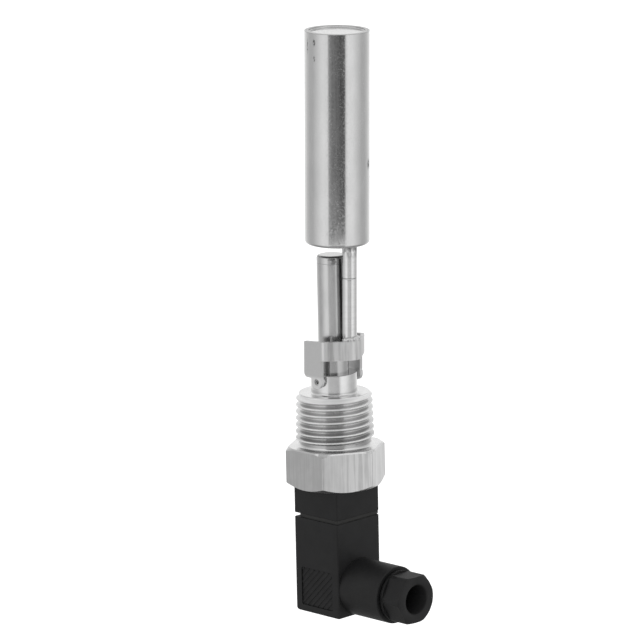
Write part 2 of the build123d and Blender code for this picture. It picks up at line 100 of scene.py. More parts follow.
class Bench:
    """A node tree that is being wired."""

    def __init__(self, tree):
        self.tree = tree
        tree.nodes.clear()

    def node(self, kind, settings, sockets, out=0):
        """Adds a node of one type, with its settings and the values or wires of its sockets."""
        made = self.tree.nodes.new(kind)
        for name, value in settings.items():
            if name == "stops":
                ramp = made.color_ramp.elements
                for stop in list(ramp)[1:]:
                    ramp.remove(stop)
                for count, (place, grey) in enumerate(value):
                    stop = ramp[0] if count == 0 else ramp.new(place)
                    stop.position = place
                    stop.color = (grey, grey, grey, 1)
            else:
                setattr(made, name, value)
        for name, value in sockets.items():
            if isinstance(value, Wire):
                self.tree.links.new(value.socket, made.inputs[name])
            else:
                made.inputs[name].default_value = value
        return Wire(self, made.outputs[out]) if made.outputs else None

    def parts(self, vector):
        """The three numbers of a vector."""
        split = self.node("ShaderNodeSeparateXYZ", {}, {0: vector}).socket.node
        return [Wire(self, socket) for socket in split.outputs]

    def mixed(self, factor, low, high):
        """A colour between two others; each is a wire, a grey or three numbers."""
        ends = []
        for shade in (low, high):
            if isinstance(shade, float):
                shade = (shade, shade, shade)
            ends.append(shade if isinstance(shade, Wire) else (*shade, 1))
        return self.node("ShaderNodeMix", {"data_type": "RGBA"}, {0: factor, 6: ends[0], 7: ends[1]}, out=2)

    def rays(self, *kinds):
        """1 for rays of these kinds and 0 for all others."""
        paths = self.node("ShaderNodeLightPath", {}, {}).socket.node.outputs
        any_of = Wire(self, paths[kinds[0]])
        for kind in kinds[1:]:
            any_of = any_of.larger(Wire(self, paths[kind]))
        return any_of


scene.world = bpy.data.worlds.new("white_tent")
scene.world.use_nodes = True
tent = Bench(scene.world.node_tree)
along, across, above = tent.parts(tent.node("ShaderNodeTexCoord", {}, {}))
facing = (across + above) * sqrt(0.5) / (1.0001 - along * along) ** 0.5
round_the_axis = tent.node("ShaderNodeValToRGB", {"stops": (
    (0.00, 1.00), (0.08, 0.95), (0.15, 0.74), (0.30, 0.58), (0.45, 0.58),
    (0.62, 0.78), (0.78, 1.00), (0.92, 1.04), (1.00, 1.00))}, {0: facing * 0.5 + 0.5})
float_side = along.eased(0.35, 0.65) * 0.9
plug_side = (0 - along).eased(0.3, 0.8) * 0.5
walls = round_the_axis.larger(float_side) * (1 - plug_side)
tent_light = tent.mixed(along.eased(0.72, 0.95), walls, 0.62)
tent_walls = tent.node("ShaderNodeBackground", {}, {"Color": tent_light, "Strength": 1.0})
white_ground = tent.node("ShaderNodeBackground", {}, {"Color": (1, 1, 1, 1), "Strength": 1.0})
straight = tent.rays("Is Camera Ray", "Is Transmission Ray")
shown = tent.node("ShaderNodeMixShader", {}, {0: straight, 1: tent_walls, 2: white_ground})
tent.node("ShaderNodeOutputWorld", {}, {"Surface": shown})

floor_half, floor_level = 3, -0.16
floor_corners = [(x * floor_half, y * floor_half, floor_level)
                 for x, y in ((-1, -1), (1, -1), (1, 1), (-1, 1))]
floor_mesh = bpy.data.meshes.new("floor")
floor_mesh.from_pydata(floor_corners, [], [(0, 1, 2, 3)])
floor = bpy.data.objects.new("floor", floor_mesh)
scene.collection.objects.link(floor)
floor.visible_glossy = False
paper = bpy.data.materials.new("pale_floor")
paper.use_nodes = True
on_paper = Bench(paper.node_tree)
seen = on_paper.rays("Is Camera Ray", "Is Transmission Ray", "Is Glossy Ray")
matt = on_paper.node("ShaderNodeBsdfDiffuse", {}, {"Color": (0.8, 0.8, 0.8, 1)})
glow = on_paper.node("ShaderNodeEmission", {}, {"Color": (1, 1, 1, 1), "Strength": seen * 0.45})
lit_paper = on_paper.node("ShaderNodeAddShader", {}, {0: matt, 1: glow})
on_paper.node("ShaderNodeOutputMaterial", {}, {"Surface": lit_paper})
floor_mesh.materials.append(paper)

foil_radius, foil_ends, foil_middle = 0.15, (-0.14, 0.12), 45  # bent round the axis, in metres and degrees
foil_turns = [radians(foil_middle + turn) for turn in range(-44, 47, 3)]
foil_mesh = bpy.data.meshes.new("grey_foil")
foil_mesh.from_pydata(
    [(x, foil_radius * cos(t), foil_radius * sin(t)) for x in foil_ends for t in foil_turns], [],
    [(n, n + 1, n + 1 + len(foil_turns), n + len(foil_turns)) for n in range(len(foil_turns) - 1)])
foil = bpy.data.objects.new("grey_foil", foil_mesh)
scene.collection.objects.link(foil)
foil.visible_camera = foil.visible_diffuse = foil.visible_transmission = foil.visible_shadow = False
tinted = bpy.data.materials.new("grey_foil")
tinted.use_nodes = True
on_foil = Bench(tinted.node_tree)
spot_on_foil = on_foil.node("ShaderNodeTexCoord", {}, {}, out=3)
low_to_high, foil_y, foil_z = on_foil.parts(spot_on_foil)
stripe = on_foil.node("ShaderNodeValToRGB", {"stops": (
    (0.10, 0.0), (0.23, 0.05), (0.27, 0.66), (0.36, 0.80), (0.50, 0.84),
    (0.62, 0.92), (0.715, 0.92), (0.755, 0.15), (0.81, 0.0))},
    {0: (foil_z - foil_y) * (sqrt(0.5) / foil_radius) * 0.5 + 0.5})
blotch = on_foil.node("ShaderNodeTexNoise", {},
                      {"Vector": spot_on_foil, "Scale": 150.0, "Detail": 6.0, "Roughness": 0.7})
# In metres along the switch: half as dense before the thread, open before the hinge, and dense from
# the bracket to the float's end.
denser_up = 0.95 + low_to_high.eased(0.030, 0.085) * 0.05
patchy = 0.88 + blotch.eased(0.35, 0.65) * 0.20
before_float = low_to_high.eased(0.0243, 0.0255) * denser_up * patchy
before_thread = (1 - low_to_high.eased(0.0188, 0.0204)) * 0.50
let_through = (1 - stripe * (before_float + before_thread)).larger(0.05)
grey_film = on_foil.node("ShaderNodeBsdfTransparent", {}, {"Color": let_through})
on_foil.node("ShaderNodeOutputMaterial", {}, {"Surface": grey_film})
foil_mesh.materials.append(tinted)

for name, watts, width, place in (
    ("key_lamp", 3.2, 0.7, (0.75, 0.75, 0.65)),
    ("fill_lamp", 1.6, 0.9, (0.2, -0.35, 0.95)),
):
    lamp = bpy.data.lights.new(name, "AREA")
    lamp.energy = watts
    lamp.size = width
    lamp_body = bpy.data.objects.new(name, lamp)
    aimed = Vector(place).to_track_quat("Z", "Y").to_matrix().to_4x4()
    lamp_body.matrix_world = Matrix.Translation(place) @ aimed
    lamp_body.visible_glossy = False
    scene.collection.objects.link(lamp_body)


# Camera. It stands a metre off, midway between the switch's front and its top and 11.9 degrees nearer
# the float's end than square to the axis. It is turned so that the axis runs nearly straight up the
# picture.
lens_angle, rise, roll, distance = radians(45.01), radians(11.871), radians(-1.233), 1.0757
aim_along, aim_aside = 0.033957, -0.003388
focal_pixels, picture_pixels, sensor = 4032.1, 640, 36
back = Vector((sin(rise), cos(rise) * cos(lens_angle), cos(rise) * sin(lens_angle)))
upright = Vector((cos(rise), -sin(rise) * cos(lens_angle), -sin(rise) * sin(lens_angle)))
sideways = (-back).cross(upright)
turned_right = sideways * cos(roll) + upright * sin(roll)
turned_up = upright * cos(roll) - sideways * sin(roll)
spot = Vector((aim_along, 0, 0)) + sideways * aim_aside + back * distance
camera = bpy.data.objects.new("camera", bpy.data.cameras.new("camera"))
camera.data.sensor_width = sensor
camera.data.lens = sensor * focal_pixels / picture_pixels
camera.data.clip_start, camera.data.clip_end = 0.05, 30
camera.matrix_world = Matrix.Translation(spot) @ Matrix((turned_right, turned_up, back)).transposed().to_4x4()
scene.collection.objects.link(camera)
scene.camera = camera


# Turned body. One piece of stainless hexagon bar: a 24 mm spanner hexagon with chamfered corners, a
# half-inch taper pipe thread with fourteen crests to the inch, and the neck that takes the sensor tube.
# Its turned faces keep the tool's fine rings, and the flats keep the drawn lines of the bar.
def on_switch(x, y, z):
    """A place given in millimetres along the switch's axis and across it."""
    return Vector((x, y, z)) * 0.001


def skin(shape, rings, closed=False):
    """Faces between rings of as many corners; a ring of one corner is a pole."""
    following = rings[1:] + rings[:1] if closed else rings[1:]
    for low, high in zip(rings, following):
        for n in range(max(len(low), len(high))):
            square = [ring[k % len(ring)] for ring, k in ((low, n), (low, n + 1), (high, n + 1), (high, n))]
            square = [corner for k, corner in enumerate(square) if corner not in square[:k]]
            if len(square) > 2 and shape.faces.get(square) is None:
                shape.faces.new(square)


def outline(corners, steps=5):
    """A line of (along, out, rounding) corners with the roundings drawn as short runs."""
    line = []
    for n, (a, b, rounding) in enumerate(corners):
        if rounding == 0 or n in (0, len(corners) - 1):
            line.append((a, b))
            continue
        here = Vector((a, b))
        before = (Vector(corners[n - 1][:2]) - here).normalized()
        after = (Vector(corners[n + 1][:2]) - here).normalized()
        half = before.angle(after) / 2
        middle = here + (before + after).normalized() * rounding / sin(half)
        start = here + before * rounding / tan(half) - middle
        end = here + after * rounding / tan(half) - middle
        hold = min(0.12, rounding / 2)  # a short straight run at both ends keeps the flats evenly shaded
        line.append(tuple(middle + start + before * hold))
        for k in range(steps + 1):
            line.append(tuple(middle + start.slerp(end, k / steps).normalized() * rounding))
        line.append(tuple(middle + end + after * hold))
    return line


def piece(name, shape, finishes, body, nodes, crease=35):
    """Makes the mesh an object that rides on its body and stands for its CAD nodes.

    Edges sharper than crease, in degrees, and the seams between two finishes are shaded sharp.
    """
    bmesh.ops.remove_doubles(shape, verts=shape.verts, dist=2e-7)
    bmesh.ops.dissolve_degenerate(shape, edges=shape.edges, dist=1e-7)
    bmesh.ops.recalc_face_normals(shape, faces=shape.faces)
    mesh = bpy.data.meshes.new(name)
    shape.edges.index_update()
    seams = [edge.index for edge in shape.edges
             if len({face.material_index for face in edge.link_faces}) > 1]
    shape.to_mesh(mesh)
    shape.free()
    for finish in finishes:
        mesh.materials.append(finish.material)
    mesh.shade_smooth()
    mesh.set_sharp_from_angle(angle=radians(crease))
    for index in seams:
        mesh.edges[index].use_edge_sharp = True
    made = bpy.data.objects.new(name, mesh)
    scene.collection.objects.link(made)
    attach(made, body)
    if nodes:
        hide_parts(*nodes)
    return made


class Finish(Bench):
    """A surface: one Principled shader that the patterns feed, with positions read in millimetres."""

    def __init__(self, name, **plain):
        self.material = bpy.data.materials.new(name)
        self.material.use_nodes = True
        super().__init__(self.material.node_tree)
        values = {key.replace("_", " "): value for key, value in plain.items()}
        self.shader = self.node("ShaderNodeBsdfPrincipled", {}, values).socket.node
        self.node("ShaderNodeOutputMaterial", {}, {"Surface": Wire(self, self.shader.outputs[0])})
        in_metres = self.node("ShaderNodeTexCoord", {}, {}, out=3)
        self.place = self.node("ShaderNodeMapping", {}, {"Vector": in_metres, "Scale": (1000, 1000, 1000)})

    def feed(self, name, wire):
        self.tree.links.new(wire.socket, self.shader.inputs[name])

    def grain(self, scale, detail=3.0, roughness=0.5, at=None):
        """Noise from 0 to 1, stretched by scale along X, Y and Z, in cycles a millimetre."""
        start = self.place if at is None else at
        stretched = self.node("ShaderNodeMapping", {}, {"Vector": start, "Scale": scale})
        return self.node("ShaderNodeTexNoise", {},
                         {"Vector": stretched, "Scale": 1.0, "Detail": detail, "Roughness": roughness})

    def away_from(self, centre, reach):
        """0 at a place in millimetres, and 1 on the ellipsoid of this reach round it."""
        terms = zip(self.parts(self.place), centre, reach)
        return sum(((at - middle) / size) ** 2 for at, middle, size in terms) ** 0.5

    def relief(self, height, depth):
        """A bump whose height is in millimetres."""
        self.feed("Normal", self.node("ShaderNodeBump", {},
                                      {"Height": height, "Distance": depth * 0.001, "Strength": 1.0}))


def bare_metal(name):
    return Finish(name, Metallic=1.0, IOR=2.5)


flats, bar_low, bar_high = 24.0, -10.9, 0.0
foot_circle, foot_slope = 11.8, 34  # the chamfer towards the plug: the radius where it starts, and its angle
top_circle, top_slope = 12.8, 30  # the chamfer towards the thread
shoulder_drop, shoulder_in = 0.36, 0.2  # the rounded edge over that chamfer
shank_start, shank_end, relief = 1.5, 14.4, 9.66
crest, taper, pitch, tooth, phase = 10.66, 1 / 32, 1.814, 1.05, 2.42  # crest is its radius at x = 0
lead_slope, end_chamfer = 2.0, 0.85
neck_end, neck_radius, neck_bore = 19.8, 6.2, 4.03
tube_seat, cavity = 2.0, 5.5

turned_face = bare_metal("turned_steel")
rings_cut = turned_face.grain((5.0, 0.05, 0.05), 4.0)
stain = turned_face.grain((0.25, 0.25, 0.25))
x_mm, y_mm, z_mm = turned_face.parts(turned_face.place)
height = (y_mm * y_mm + z_mm * z_mm) ** 0.5 + x_mm * taper
cut = height.eased(9.3, 9.5) * x_mm.between(0.5, 0.9, 14.1, shank_end)
# painted highlight: the thread's crests and its last turns at the end chamfer are painted bright; the same
# mask also makes them rougher
painted_crest_highlight = height.eased(crest - 0.16, crest - 0.03).larger(x_mm.eased(12.8, 13.3))
plain_tone = turned_face.mixed(stain.eased(0.3, 0.7), 0.68, 0.76)
# painted shade: the thread's flanks and roots and the relief groove are painted darker, darkest next to the
# hexagon, where its shadow falls
painted_thread_shade = turned_face.mixed(x_mm.eased(1.6, 9.0), 0.43, 0.60)
thread_painted_shade_and_highlight = turned_face.mixed(painted_crest_highlight, painted_thread_shade, 0.92)
turned_face.feed("Base Color", turned_face.mixed(cut, plain_tone, thread_painted_shade_and_highlight))
from_axis = turned_face.node("ShaderNodeCombineXYZ", {}, {0: height})
facing_rings = turned_face.grain((2.6, 1, 1), 4.0, at=from_axis)
turned_face.feed("Roughness", 0.13 + rings_cut * 0.08 + stain.eased(0.45, 0.75) * 0.05 + painted_crest_highlight * cut * 0.40)
turned_face.relief(rings_cut + facing_rings * 5, 0.006)

bar_face = bare_metal("drawn_bar_steel")
drawn = bar_face.grain((0.05, 1.5, 1.5), 4.0, 0.6)
wash = bar_face.grain((0.30, 0.40, 0.40))
bar_y = bar_face.parts(bar_face.place)[1]
lined = 0.3 + 0.7 * (1 - bar_y.eased(4.0, 9.0))
# painted shade: every flat but the front one, which faces +Y, is painted lighter, so that the front flat is
# darker as the light falls
painted_light_off_front_flat = (1 - bar_y.eased(11.0, 11.9)) * 0.6
bar_tone = (drawn.eased(0.38, 0.62) - 0.5) * lined + painted_light_off_front_flat + (wash - 0.4) * 0.8
bar_face.feed("Base Color", bar_face.mixed(bar_tone, 0.51, 0.71))
bar_face.feed("Roughness", 0.24 + drawn * 0.12 + wash * 0.06)
bar_face.relief(drawn * lined + wash * 1.5, 0.012)

corner_angles = (28.8, 29.06, 29.3, 29.6, 29.85)
sector = [*(-angle for angle in reversed(corner_angles)), *range(-27, 28, 3), *corner_angles]
columns = [radians(60 * side + angle) for side in range(6) for angle in sector]


def hexagon_reach(angle, corner=0.45):
    """Radius of the hexagon at an angle from the middle of a flat; its corners are a little rounded."""
    straight, centre = flats / 2, (flats / 2 - corner) / cos(radians(30))
    if straight * tan(radians(abs(angle))) < centre / 2:
        return straight / cos(radians(angle))
    turn = radians(30 - abs(angle))
    return centre * cos(turn) + sqrt(corner * corner - (centre * sin(turn)) ** 2)


def ring_of(shape, along, reach, place):
    """A ring at one length: reach is one radius, or one for each column, as along may be."""
    reaches = reach if isinstance(reach, list) else [reach] * len(columns)
    lengths = along if isinstance(along, list) else [along] * len(columns)
    return [shape.verts.new(place(a, r * cos(t), r * sin(t))) for a, r, t in zip(lengths, reaches, columns)]


def bevel_height(reach, circle, angle):
    """How far a chamfer at this angle from the circle outwards has come at each column."""
    return [max(0.0, r - circle) * tan(radians(angle)) for r in reach]


def tooth_depth(turn):
    """How deep the thread is cut, from 0 at the crest to 1 at the root, over one pitch."""
    folded = abs(turn % 1.0 - 0.5) * 2
    marks = ((0.0, 1.0), (0.10, 0.985), (0.2, 0.90), (0.72, 0.14), (0.84, 0.02), (1.0, 0.0))
    for (a, p), (b, q) in zip(marks, marks[1:]):
        if folded <= b:
            return p + (q - p) * (folded - a) / (b - a)
    return 0.0


def thread_reach(x, angle):
    """Radius of the threaded shank: the helix, stopped by the relief groove and the end chamfer."""
    helix = crest - x * taper - tooth * tooth_depth((x - phase) / pitch - (angle - pi / 4) / (2 * pi))
    out_of_groove = relief + (x - shank_start) * lead_slope
    off_the_end = crest - shank_end * taper - end_chamfer + (shank_end - x)
    return min(helix, out_of_groove, off_the_end)


shape = bmesh.new()
flat_reach = [hexagon_reach(angle) for side in range(6) for angle in sector]
low_rise = bevel_height(flat_reach, foot_circle, foot_slope)
top_rise = bevel_height(flat_reach, top_circle, top_slope)
from_bore = [(neck_end, neck_bore), (tube_seat, neck_bore), (tube_seat, cavity), (bar_low, cavity),
             (bar_low, foot_circle - 0.15), (bar_low + 0.05, foot_circle)]
rings = [ring_of(shape, a, r, on_switch) for a, r in from_bore]
rings.append(ring_of(shape, [bar_low + h for h in low_rise], flat_reach, on_switch))
rings.append(ring_of(shape, [bar_high - h - shoulder_drop for h in top_rise], flat_reach, on_switch))
rings.append(ring_of(shape, bar_high, [min(r, top_circle) - shoulder_in for r in flat_reach], on_switch))
groove_line = outline([(bar_high, 12, 0), (bar_high, relief, 1.0), (shank_start, relief, 0)], 8)
rings += [ring_of(shape, a, r, on_switch) for a, r in groove_line[1:-1]]
shank_reach = [[thread_reach(x, t) for t in columns] for x in (shank_start, shank_end)]
rings.append(ring_of(shape, shank_start, shank_reach[0], on_switch))
skin(shape, rings)
for face in shape.faces:
    middle = face.calc_center_median() * 1000
    if middle.x < bar_high - 0.25 and middle.yz.length > 11.9:
        face.material_index = 1
after = [ring_of(shape, shank_end, shank_reach[1], on_switch)]
neck_line = outline([(shank_end, 9, 0), (shank_end, neck_radius, 0.35), (neck_end, neck_radius, 0.25),
                     (neck_end, neck_bore, 0)])
after += [ring_of(shape, a, r, on_switch) for a, r in neck_line[1:]]
skin(shape, after)

# The thread's rows of corners follow the helix, so the end of each row meets the start of the row one
# turn further on.
stages = (0.0, 0.04, 0.08, 0.14, 0.27, 0.4, 0.45, 0.5, 0.55, 0.6, 0.73, 0.86, 0.92, 0.96)
first_turn = phase + pitch / 8 - 2 * pitch
turns = int((shank_end - shank_start) / pitch) + 4
rows = []
for level in (first_turn + (n + stage) * pitch for n in range(turns) for stage in stages):
    row = []
    for angle in columns:
        x = min(shank_end, max(shank_start, level + angle / (2 * pi) * pitch - pitch / 4))
        r = thread_reach(x, angle)
        row.append(shape.verts.new(on_switch(x, r * cos(angle), r * sin(angle))))
    rows.append(row)
for n, (row, higher) in enumerate(zip(rows, rows[1:])):
    for k in range(len(columns) - 1):
        shape.faces.new((row[k], row[k + 1], higher[k + 1], higher[k]))
    if n + 1 + len(stages) < len(rows):
        turn_on, turn_on_higher = rows[n + len(stages)], rows[n + 1 + len(stages)]
        shape.faces.new((row[-1], turn_on[0], turn_on_higher[0], higher[-1]))
piece("turned_body", shape, (turned_face, bar_face), "switch_body", ("body",))


# Sensor tube. A thin drawn stainless tube of 8 mm, pressed into the neck and welded there, with a
# turned plug welded into its far end. Its foot inside the bracket and its side under the stem are
# darkened with painted shade, and the plug's weld has left a dark spot and a fine line round the rim.
def revolved(line, place, around=96):
    """A solid of turning; a line that doesn't end on the axis closes on itself."""
    shape = bmesh.new()
    rings = []
    for a, r in line:
        turns = [2 * pi * n / around for n in range(1 if r < 1e-6 else around)]
        rings.append([shape.verts.new(place(a, r * cos(t), r * sin(t))) for t in turns])
    skin(shape, rings, closed=line[0][1] > 1e-6)
    return shape


tube_face = bare_metal("tube_steel")
lengthwise = tube_face.grain((0.05, 3.5, 3.5), 4.0)
handling = tube_face.grain((0.18, 0.5, 0.5))
tube_x, _, tube_z = tube_face.parts(tube_face.place)
# painted shadow: the tube's side under the stem, above the web, is painted darker where the stem's shadow
# falls
painted_stem_shadow = tube_z.eased(3.4, 3.8) * tube_x.eased(27, 29) * 0.65
# painted shade: the tube's foot, up to the web's lower edge, is painted darker where the bracket's cheeks and
# web shade it
painted_shade_in_bracket = 0.15 - tube_x.eased(24.2, 24.6) * 0.15
weld_stop = 1 - tube_face.away_from((50.5, 2.5, 3.1), (0.9, 1.6, 1.6)).eased(0.5, 1.0)
weld_tint = weld_stop * tube_face.grain((1.0, 0.7, 0.7), 3.0, 0.6).eased(0.40, 0.54) * 0.6
rim_line = tube_x.between(51.30, 51.45, 51.70, 51.79) * 0.6
weld_marks_and_painted_shade = painted_stem_shadow.larger(painted_shade_in_bracket).larger(weld_tint).larger(rim_line)
clean_tone = tube_face.mixed(handling.eased(0.35, 0.7), 0.55, 0.61)
tube_face.feed("Base Color", tube_face.mixed(weld_marks_and_painted_shade, clean_tone, 0.05))
tube_face.feed("Roughness", 0.16 + lengthwise * 0.07 + handling.eased(0.5, 0.8) * 0.06)
tube_face.relief(lengthwise, 0.003)

tube_end, tube_radius, tube_bore = 49.7, 4.0, 3.5
plug_foot, plug_end, plug_round = 47.7, 51.8, 0.9
tube_line = outline([
    (tube_seat, tube_bore, 0), (tube_seat, tube_radius, 0), (tube_end, tube_radius, 0.08),
    (tube_end, tube_bore, 0)], 3)
tube = revolved(tube_line, on_switch)
piece("sensor_tube", tube, (tube_face,), "switch_body", ("sensor_tube",))
plug_line = outline([
    (plug_foot, 0, 0), (plug_foot, tube_bore - 0.02, 0), (tube_end, tube_bore - 0.02, 0),
    (tube_end, tube_radius - 0.01, 0.08), (plug_end, tube_radius - 0.01, plug_round),
    (plug_end, 0, 0)], 8)
tube_plug = revolved(plug_line, on_switch)
piece("sensor_tube_end", tube_plug, (tube_face,), "switch_body", ("tube_plug",))


# Swing bracket. Stainless sheet of 1 mm, cut with two round lugs and bent to cheeks and a pointed web
# that wraps the stem. The lugs' eyes turn on two shouldered pins pressed into the neck.
lean = radians(1.5)
hinge = Vector((18.4, 0, 1.35))


def on_arm(u, y, v):
    """A place given in millimetres from the hinge, along the arm and across it."""
    return (hinge + Vector((u * cos(lean) - v * sin(lean), y, u * sin(lean) + v * cos(lean)))) * 0.001


sheet_face = bare_metal("sheet_steel")
rolled = sheet_face.grain((0.9, 0.9, 0.9), 5.0, 0.65)
brushed = sheet_face.grain((7.0, 0.35, 0.35))
streaks = sheet_face.grain((0.04, 0.55, 0.55), 3.0, 0.6).eased(0.3, 0.7)
sheet_x, _, sheet_z = sheet_face.parts(sheet_face.place)
on_web = sheet_z.eased(2.6, 4.4)
# painted light: the lugs are painted lighter, against the shade between each lug and the neck
painted_light_on_lug = 1 - sheet_x.eased(19.2, 20.2)
sheet_tone = rolled * 0.3 + painted_light_on_lug * 0.6 + (0.3 + on_web * (streaks * 1.5 - 0.6))
sheet_face.feed("Base Color", sheet_face.mixed(sheet_tone, 0.52, 0.78))
sheet_face.feed("Roughness", 0.38 + brushed * 0.12 + rolled * 0.10)
sheet_face.relief(brushed + rolled, 0.006)

stand, wrap = 4.513, 3.02  # from the hinge up to the stem's middle, and from there to the web's outer face
half_width, web_low, web_high, web_turn = 7.9, 6.05, 11.2, radians(36)
cheek_top, cheek_foot, cheek_start, cheek_corner = 1.6, -4.7, 0.85, 10.55
lug_radius, eye_radius = 1.8, 0.85
shoulder = stand + (wrap - half_width * sin(web_turn)) / cos(web_turn)
ridge = stand + wrap / cos(web_turn)
web_line = outline([
    (half_width, cheek_top, 0), (half_width, shoulder, 1.5), (0, ridge, wrap), (-half_width, shoulder, 1.5),
    (-half_width, cheek_top, 0)], 10)
lug = [(lug_radius * cos(t), lug_radius * sin(t)) for t in (radians(90 + 10 * n) for n in range(19))]
under_side = outline([
    (cheek_start, -lug_radius, 0), (cheek_start, cheek_foot, 1.2), (cheek_corner, cheek_foot, 0.15),
    (web_high, cheek_top, 0)])
upper_side = [(web_low, cheek_top), (cheek_start, cheek_top), (cheek_start, lug_radius)]
eye = [(eye_radius * cos(2 * pi * n / 32), eye_radius * sin(2 * pi * n / 32)) for n in range(32)]
shape = bmesh.new()
for side in (1, -1):
    loops = []
    for line in ([*lug, *under_side, *upper_side], eye):
        corners = [shape.verts.new(on_arm(u, side * half_width, v)) for u, v in line]
        loops += [shape.edges.new((a, b)) for a, b in zip(corners, corners[1:] + corners[:1])]
    bmesh.ops.triangle_fill(shape, use_beauty=True, edges=loops, normal=(0, side, 0))
low_edge, high_edge = [[shape.verts.new(on_arm(u, y, v)) for y, v in web_line] for u in (web_low, web_high)]
for n in range(len(web_line) - 1):
    shape.faces.new((low_edge[n], low_edge[n + 1], high_edge[n + 1], high_edge[n]))
bmesh.ops.remove_doubles(shape, verts=shape.verts, dist=2e-7)
bmesh.ops.recalc_face_normals(shape, faces=shape.faces)
front_cheek = max(shape.faces, key=lambda face: face.calc_center_median().y)
if front_cheek.normal.y < 0:
    bmesh.ops.reverse_faces(shape, faces=shape.faces)
bmesh.ops.solidify(shape, geom=shape.faces[:], thickness=0.001)
piece("swing_bracket", shape, (sheet_face,), "float_arm", ("bracket",), 30)


# Hinge pins. Turned stainless pins with a shoulder for the lugs to run on, pressed into the neck on
# both sides; each keeps the small centre hole of its turning in the visible end.
pin_root, pin_step, pin_face = 4.5, 6.85, 7.65
step_radius, pin_radius, hole_radius = 1.0, 0.8, 0.5
pin_line = outline([
    (pin_root, 0, 0), (pin_root, step_radius, 0), (pin_step, step_radius, 0.05), (pin_step, pin_radius, 0),
    (pin_face, pin_radius, 0.1), (pin_face, hole_radius, 0.03), (5.6, hole_radius, 0), (5.4, 0, 0)], 3)
for side, node in ((1, "hinge_pin_front"), (-1, "hinge_pin_rear")):
    def on_pin(out, a, b):
        return Vector((hinge.x + a, side * out, hinge.z + b)) * 0.001

    pin = revolved(pin_line, on_pin, 40)
    piece(node + "_turned", pin, (turned_face,), "switch_body", (node,))


# Arm stem and its weld. A 4 mm stainless tube from the bracket to the float, closed by two plugs, with
# the magnet inside; a short bead joins it to the top edge of the web. A fine turned line runs round it,
# and its end below the float is blotched dark with a painted shadow and reflection of the float's foot.
stem_face = bare_metal("stem_steel")
stem_rings = stem_face.grain((2.5, 0.2, 0.2))
stem_x = stem_face.parts(stem_face.place)[0]
fine_line = stem_x.between(46.0, 46.15, 46.4, 46.55) * 0.4
# painted shadow and reflection: dark blotches on the stem's last millimetres below the float's foot
painted_float_shadow = stem_x.eased(51.0, 54.5) * stem_face.grain((0.5, 0.9, 0.9), 4.0, 0.6).eased(0.42, 0.56)
plain_stem = stem_face.mixed(stem_rings.eased(0.3, 0.7), 0.70, 0.76)
stem_face.feed("Base Color", stem_face.mixed(painted_float_shadow.larger(fine_line), plain_stem, 0.30))
stem_face.feed("Roughness", 0.15 + stem_rings * 0.08)
stem_face.relief(stem_rings, 0.003)


def on_stem(u, a, b):
    return on_arm(u, a, stand + b)


stem_end, stem_radius, stem_bore = 39.8, 2.0, 1.55
line_at = 27.9
stem_line = outline([
    (web_low, stem_bore, 0), (web_low, stem_radius, 0.25), (line_at - 0.3, stem_radius, 0),
    (line_at - 0.15, stem_radius, 0), (line_at, stem_radius - 0.1, 0), (line_at + 0.15, stem_radius, 0),
    (line_at + 0.3, stem_radius, 0), (stem_end, stem_radius, 0.2), (stem_end, stem_bore, 0)])
stem = revolved(stem_line, on_stem)
piece("arm_stem", stem, (stem_face,), "float_arm", ("stem",))

weld_face = bare_metal("weld_steel")
ripple = weld_face.grain((2.5, 2.5, 2.5), 4.0)
weld_face.feed("Base Color", weld_face.mixed(ripple.eased(0.35, 0.7), 0.55, 0.74))
weld_face.feed("Roughness", 0.2 + ripple * 0.2)
weld_face.relief(ripple, 0.05)

bead_steps, bead_half_turn, bead_width, bead_height = 60, 100, 1.12, 0.95
shape = bmesh.new()
bead = []
for n in range(bead_steps + 1):
    turn = radians(bead_half_turn * (2 * n / bead_steps - 1))
    swell = sin(pi * (0.04 + 0.92 * n / bead_steps)) ** 0.35 * (1.0 + 0.07 * sin(n * 0.95))
    section = [(web_high - 0.2, stem_radius - 0.1)]
    for t in (radians(15 * k) for k in range(7)):
        section.append((web_high + bead_width * swell * sin(t), stem_radius + bead_height * swell * cos(t)))
    bead.append([shape.verts.new(on_stem(u, r * sin(turn), r * cos(turn))) for u, r in section])
skin(shape, bead)
for end in (bead[0], bead[-1]):
    shape.faces.new(end)
piece("stem_weld_bead", shape, (weld_face,), "float_arm", ("stem_weld",), 60)


# Float. A deep-drawn stainless cup of 17 mm, polished, with a rounded foot; the lid sits half a
# millimetre under the rim and a ground ring of weld joins the two edges. A few scuffs lie below the rim.
float_face = bare_metal("float_steel")
smear = float_face.grain((0.10, 0.22, 0.22), 4.0, 0.55)
polish = float_face.grain((0.5, 5.0, 5.0))
float_x, _, float_z = float_face.parts(float_face.place)
rim = ((float_x - hinge.x) * cos(lean) + (float_z - hinge.z) * sin(lean)).eased(93.55, 93.7)
pits = float_face.grain((1.9, 1.9, 1.9), 3.0, 0.6).eased(0.40, 0.76)
scuffs = 0.0
for mark, reach in (
    ((109.7, 8.6, 3.8), (1.3, 3.0, 0.6)),
    ((105.4, 8.6, 3.7), (1.0, 3.0, 0.4)),
    ((108.5, 8.1, 0.9), (2.6, 2.0, 0.35)),
    ((76.6, -4.0, 10.5), (1.9, 1.2, 1.2)),
):
    scuffs = (1 - float_face.away_from(mark, reach).eased(0.3, 1.0)).larger(scuffs)
scuffs = scuffs * float_face.grain((1.2, 1.6, 1.6), 3.0, 0.6).eased(0.38, 0.55)
polished_tone = float_face.mixed(smear.eased(0.35, 0.7), 0.62, 0.67)
float_face.feed("Base Color", float_face.mixed((rim * 0.3).larger(scuffs), polished_tone, 0.12))
float_face.feed("Roughness", 0.085 + smear.eased(0.4, 0.8) * 0.03 + pits * 0.2 + rim * 0.15 + scuffs * 0.3)
float_face.relief(polish, 0.002)

